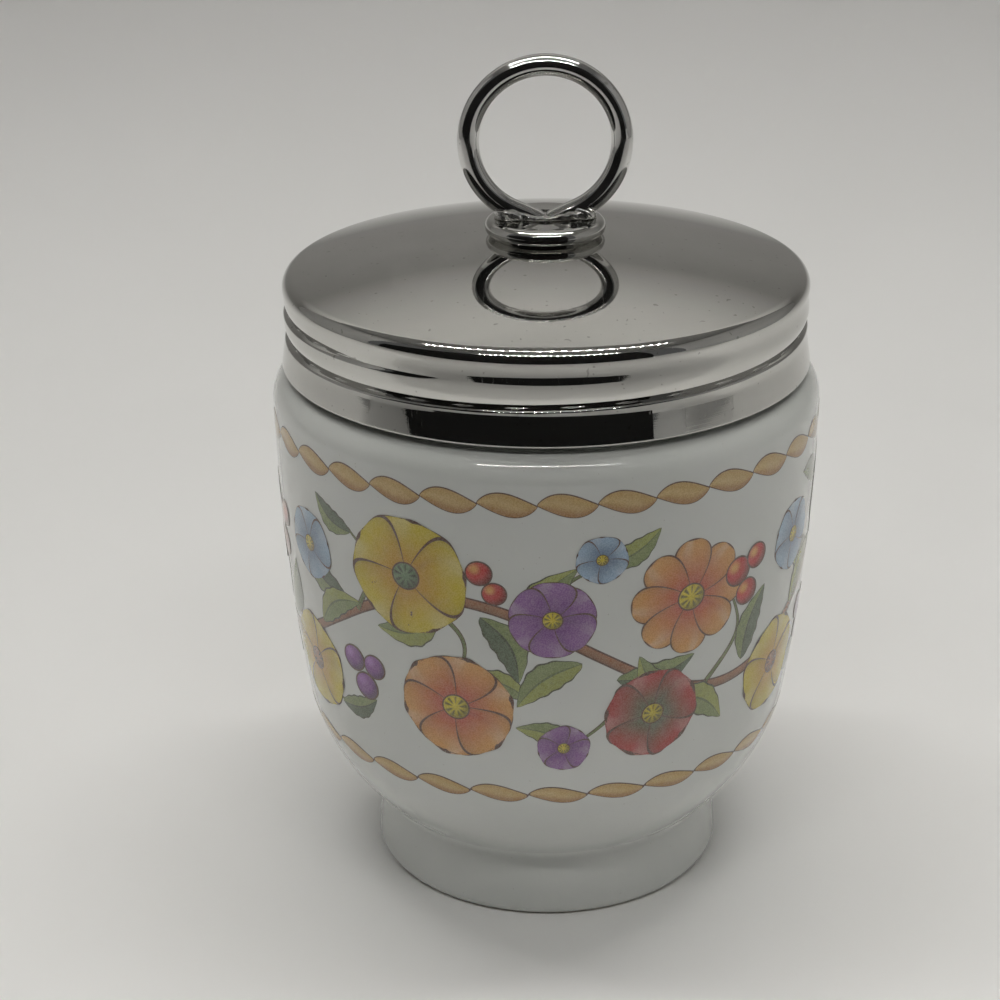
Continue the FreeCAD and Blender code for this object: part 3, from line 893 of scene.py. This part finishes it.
def print_material():
    """Printed colour under the glaze, with the grain of its dots."""
    n = Nodes("litho_print")
    attribute = n.add("ShaderNodeAttribute", attribute_name="print").outputs["Color"]
    grain = n.ramp(n.noise(7500.0, 1.0, 0.4), 0.35, 0.65)
    patch = n.ramp(n.noise(900.0, 3.0), 0.3, 0.7)
    lighter = n.blend(0.20, attribute, colour(0.80, 0.78, 0.66))
    darker = n.blend(0.34, attribute, colour(0.10, 0.05, 0.03))
    base = n.blend(grain, darker, lighter)
    base = n.blend(0.6, attribute, base)
    base = n.blend(n.math("MULTIPLY", patch, 0.07), base, colour(0.72, 0.70, 0.62))
    rough = n.ramp(n.noise(320.0, 4.0), 0.3, 0.75, 0.08, 0.17)
    ripple = n.bump(n.noise(140.0, 2.0), 0.12, 0.0004)
    n.principled(base_color=base, roughness=rough, ior=1.5, normal=ripple)
    n.shader.inputs["Coat Weight"].default_value = 0.4
    n.shader.inputs["Coat Roughness"].default_value = 0.05
    return n.material


def metal_material(name, light, dark, smoothness, lumps=0.0, spun=0.0):
    """Polished plated metal: faint clouds, fine scratches and specks. lumps and spun are the strengths
    of a melted surface and of spinning lines."""
    n = Nodes(name)
    cloud = n.ramp(n.noise(90.0, 4.0), 0.25, 0.75)
    base = n.blend(cloud, dark, light)
    specks = n.ramp(n.noise(1900.0, 0.0), 0.80, 0.83)
    base = n.blend(n.math("MULTIPLY", specks, 0.5), base, colour(0.20, 0.19, 0.17))
    stretched = n.add("ShaderNodeMapping", {"Vector": n.coords, "Rotation": (0.3, 0.2, 0.7),
                                            "Scale": (9.0, 0.35, 1.0)})
    scratch = n.ramp(n.noise(420.0, 2.0, coords=stretched.outputs["Vector"]), 0.66, 0.70)
    haze = n.ramp(n.noise(160.0, 5.0), 0.35, 0.8, smoothness, smoothness * 2.6)
    rough = n.math("ADD", haze, n.math("MULTIPLY", scratch, 0.05))
    normal = n.bump(scratch, 0.03, 0.00003)
    if spun:
        split = n.add("ShaderNodeSeparateXYZ", {"Vector": n.coords})
        x, y = split.outputs["X"], split.outputs["Y"]
        radius = n.math("SQRT", n.math("ADD", n.math("MULTIPLY", x, x), n.math("MULTIPLY", y, y)))
        rings = n.add("ShaderNodeCombineXYZ", {"X": radius, "Z": split.outputs["Z"]}).outputs["Vector"]
        normal = n.bump(n.noise(3000.0, 3.0, coords=rings), spun, 0.00002, normal)
    if lumps:
        normal = n.bump(n.noise(700.0, 5.0, 0.6), lumps, 0.0003, normal)
    n.principled(base_color=base, metallic=1.0, roughness=rough, normal=normal)
    return n.material


WALL_GLOW = 0.36
# Painted shade: the sweep turns dark grey between these heights in metres
PAINTED_WALL_SHADE_FROM, PAINTED_WALL_SHADE_TO = 0.0, 0.09
# Painted light: the wall turns pale again between these heights in metres, and glows up to GLOW_TO with
# strength WALL_GLOW
PAINTED_WALL_LIGHT_FROM, PAINTED_WALL_LIGHT_TO = 0.27, 0.50
GLOW_TO = 0.55


def floor_material():
    """The pale table and the wall behind it. Above the table the wall is painted dark grey as painted
    shade, and near the ceiling it is painted pale again and glows softly as painted light.
    """
    n = Nodes("pale_table")
    cloud = n.ramp(n.noise(6.0, 4.0), 0.3, 0.7)
    base = n.blend(cloud, colour(0.90, 0.90, 0.885), colour(0.93, 0.93, 0.915))
    height = n.add("ShaderNodeSeparateXYZ", {"Vector": n.coords}).outputs["Z"]
    # painted shade: the wall above the table is painted dark grey
    base = n.blend(n.ramp(height, PAINTED_WALL_SHADE_FROM, PAINTED_WALL_SHADE_TO), base, colour(0.345, 0.34, 0.332))
    # painted light: the wall is painted pale near the ceiling
    base = n.blend(n.ramp(height, PAINTED_WALL_LIGHT_FROM, PAINTED_WALL_LIGHT_TO), base, colour(0.85, 0.845, 0.82))
    rough = n.ramp(n.noise(40.0, 3.0), 0.3, 0.7, 0.42, 0.55)
    n.principled(base_color=base, roughness=rough)
    # painted light: the upper wall glows though it is no lamp
    glow = n.ramp(height, PAINTED_WALL_LIGHT_FROM, GLOW_TO, 0.0, WALL_GLOW)
    n.shader.inputs["Emission Color"].default_value = (1.0, 0.985, 0.94, 1.0)
    n.set(n.shader.inputs["Emission Strength"], glow)
    return n.material


def flat_material(name, shade):
    """A plain matt board."""
    n = Nodes(name)
    tone = n.ramp(n.noise(3.0, 2.0), 0.3, 0.7)
    base = n.blend(tone, colour(*[c * 0.8 for c in shade]), colour(*shade))
    n.principled(base_color=base, roughness=0.9)
    return n.material


def wear(obj, material, body, slot, *nodes):
    """Gives a piece its material and its body, and hides the CAD nodes it stands for. slot is not used."""
    obj.data.materials.append(material)
    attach(obj, body)
    if nodes:
        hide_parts(*nodes)


# Stage: a white photo box with two rows of small lamps in its ceiling, open at the front, where a
# near-black board stands for the dark clothes of the person at the camera and, as painted shade, for the
# unlit room

BOX_HALF_WIDTH = 0.46
BOX_FRONT = -0.30
CEILING_FRONT = -0.42
LEFT_SIDE_FRONT = -0.10
PAPER_FRONT = -0.50
PAPER_HALF_WIDTH = 1.6
PAPER_HEIGHT = 1.2
BEND_Y, BEND_RADIUS = 0.125, 0.26
BOX_BACK = BEND_Y + BEND_RADIUS
BOX_TOP = 0.56
DARK_LEFT, DARK_RIGHT, DARK_TOP = -1.0, 0.27, 0.44
LAMP_DROP = 0.004
LAMP_ROWS = ((-0.36, 0.85), (0.03, 1.0))
LAMP_COUNT = 24
LAMP_SPACING = 0.022
LAMP_SIZE = 0.008
LAMP_STRENGTH = 280.0


def board(name, corners, material):
    """A flat board of the stage, from its corners in metres."""
    obj = new_object(name, [[c / MM for c in corner] for corner in corners], [tuple(range(len(corners)))])
    obj.data.materials.append(material)


def make_stage():
    """A paper sweep from the table up the back wall, with boards round it."""
    line = [(PAPER_FRONT, 0.0), (BEND_Y, 0.0)]
    line += [(BEND_Y + BEND_RADIUS * sin(a), BEND_RADIUS * (1.0 - cos(a))) for a in range(6, 91, 6)]
    line.append((BOX_BACK, PAPER_HEIGHT))
    points = [(x / MM, y / MM, z / MM) for y, z in line for x in (-PAPER_HALF_WIDTH, PAPER_HALF_WIDTH)]
    faces = [(2 * i, 2 * i + 1, 2 * i + 3, 2 * i + 2) for i in range(len(line) - 1)]
    sweep = new_object("paper_sweep", points, faces)
    sweep.data.materials.append(floor_material())
    white = flat_material("white_board", (0.55, 0.55, 0.545))
    # near-black: the dark clothes of the person at the camera, and painted shade for the unlit room in
    # front of the box
    dark = flat_material("shade_and_dark_clothes", (0.003, 0.003, 0.003))
    w, back, top = BOX_HALF_WIDTH, BOX_BACK, BOX_TOP
    board("ceiling", [(-w, CEILING_FRONT, top), (-w, back, top), (w, back, top),
                      (w, CEILING_FRONT, top)], white)
    board("left_side", [(-w, LEFT_SIDE_FRONT, 0), (-w, back, 0), (-w, back, top),
                        (-w, LEFT_SIDE_FRONT, top)], white)
    board("right_side", [(w, BOX_FRONT, 0), (w, BOX_FRONT, top), (w, back, top), (w, back, 0)], white)
    # near-black board at the open front: dark clothes, and painted shade for the unlit room
    board("front_shade_and_dark_clothes", [(DARK_LEFT, BOX_FRONT, 0), (DARK_RIGHT, BOX_FRONT, 0),
                         (DARK_RIGHT, BOX_FRONT, DARK_TOP), (DARK_LEFT, BOX_FRONT, DARK_TOP)], dark)


def make_lamps():
    """Rows of small square lamps, as in the ceiling of a photo box."""
    material = bpy.data.materials.new("lamp_glow")
    material.use_nodes = True
    tree = material.node_tree
    tree.nodes.clear()
    glow = tree.nodes.new("ShaderNodeEmission")
    glow.inputs["Color"].default_value = (1.0, 0.985, 0.96, 1.0)
    glow.inputs["Strength"].default_value = LAMP_STRENGTH
    output = tree.nodes.new("ShaderNodeOutputMaterial")
    tree.links.new(glow.outputs[0], output.inputs["Surface"])
    points, faces = [], []
    for y, size in LAMP_ROWS:
        for i in range(LAMP_COUNT):
            x = (i - (LAMP_COUNT - 1) / 2.0) * LAMP_SPACING
            h = LAMP_SIZE * size / 2.0
            base = len(points)
            z = BOX_TOP - LAMP_DROP
            points += [(x - h, y - h, z), (x - h, y + h, z), (x + h, y + h, z), (x + h, y - h, z)]
            faces.append((base, base + 1, base + 2, base + 3))
    lamps = new_object("lamp_rows", np.array(points) / MM, faces)
    lamps.data.materials.append(material)


def make_lights():
    """A faint even room light, and the lamps."""
    world = bpy.data.worlds.new("room")
    world.use_nodes = True
    world.node_tree.nodes["Background"].inputs["Color"].default_value = (0.98, 0.99, 1.0, 1.0)
    world.node_tree.nodes["Background"].inputs["Strength"].default_value = 0.10
    bpy.context.scene.world = world
    make_lamps()


# Camera, fitted to the photograph: focal length in pixels of a 1000-pixel frame, tilt and roll in degrees
FOCAL_PIXELS = 2225.1
FRAME_PIXELS = 1000.0
CAMERA_TILT = 22.979
CAMERA_ROLL = 0.612
CAMERA_PLACE = (-5.181, -231.57, 140.51)


def make_camera():
    """The camera at the photograph's angle."""
    data = bpy.data.cameras.new("photo_camera")
    data.sensor_fit = "HORIZONTAL"
    data.sensor_width = 36.0
    data.lens = data.sensor_width * FOCAL_PIXELS / FRAME_PIXELS
    data.clip_start = 0.01
    camera = bpy.data.objects.new("photo_camera", data)
    bpy.context.scene.collection.objects.link(camera)
    forward = Vector((0.0, cos(CAMERA_TILT), -sin(CAMERA_TILT)))
    level_up = Vector((0.0, sin(CAMERA_TILT), cos(CAMERA_TILT)))
    level_right = Vector((1.0, 0.0, 0.0))
    right = level_right * cos(CAMERA_ROLL) - level_up * sin(CAMERA_ROLL)
    up = level_right * sin(CAMERA_ROLL) + level_up * cos(CAMERA_ROLL)
    matrix = Matrix((right, up, -forward)).transposed().to_4x4()
    matrix.translation = Vector(CAMERA_PLACE) * MM
    camera.matrix_world = matrix
    bpy.context.scene.camera = camera


make_camera()
make_stage()
make_lights()

LID_METAL = metal_material("polished_sheet", colour(0.60, 0.595, 0.57), colour(0.55, 0.545, 0.52), 0.018,
                           spun=0.04)
WIRE_METAL = metal_material("polished_wire", colour(0.70, 0.695, 0.68), colour(0.62, 0.615, 0.60), 0.04)
BRAZE_METAL = metal_material("plated_braze", colour(0.86, 0.855, 0.83), colour(0.62, 0.615, 0.595), 0.11,
                             lumps=0.8)
RIVET_METAL = metal_material("rivet_steel", colour(0.52, 0.515, 0.50), colour(0.42, 0.415, 0.40), 0.18,
                             spun=0.2)
PORCELAIN = porcelain_material()
PRINT = print_material()

cup, cup_outline = make_cup()
wear(cup, PORCELAIN, "cup", "porcelain", "cup")
sheet = Print(cup_outline)
upper_rope = draw_rope(sheet, UPPER_ROPE_COUNT, UPPER_ROPE_PHASE, sheet.top, UPPER_ROPE_TALL,
                       "print_upper_rope")
lower_rope = draw_rope(sheet, LOWER_ROPE_COUNT, LOWER_ROPE_PHASE, 0.0, LOWER_ROPE_TALL, "print_lower_rope")
for piece in (upper_rope, lower_rope, garland(sheet)):
    wear(piece, PRINT, "cup", "porcelain")

wear(make_lid(), LID_METAL, "lid", "polished_lid", "lid_shell")
wear(make_boss(), LID_METAL, "lid", "polished_boss", "lid_boss")
wear(make_ring(), WIRE_METAL, "lid", "polished_wire", "ring_handle")
wear(make_braze(), BRAZE_METAL, "lid", "braze", "ring_braze")
for node in ("boss_rivet", "rivet_washer"):
    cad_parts[node].data.materials.clear()
    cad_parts[node].data.materials.append(RIVET_METAL)

bpy.context.scene.view_settings.view_transform = "Standard"
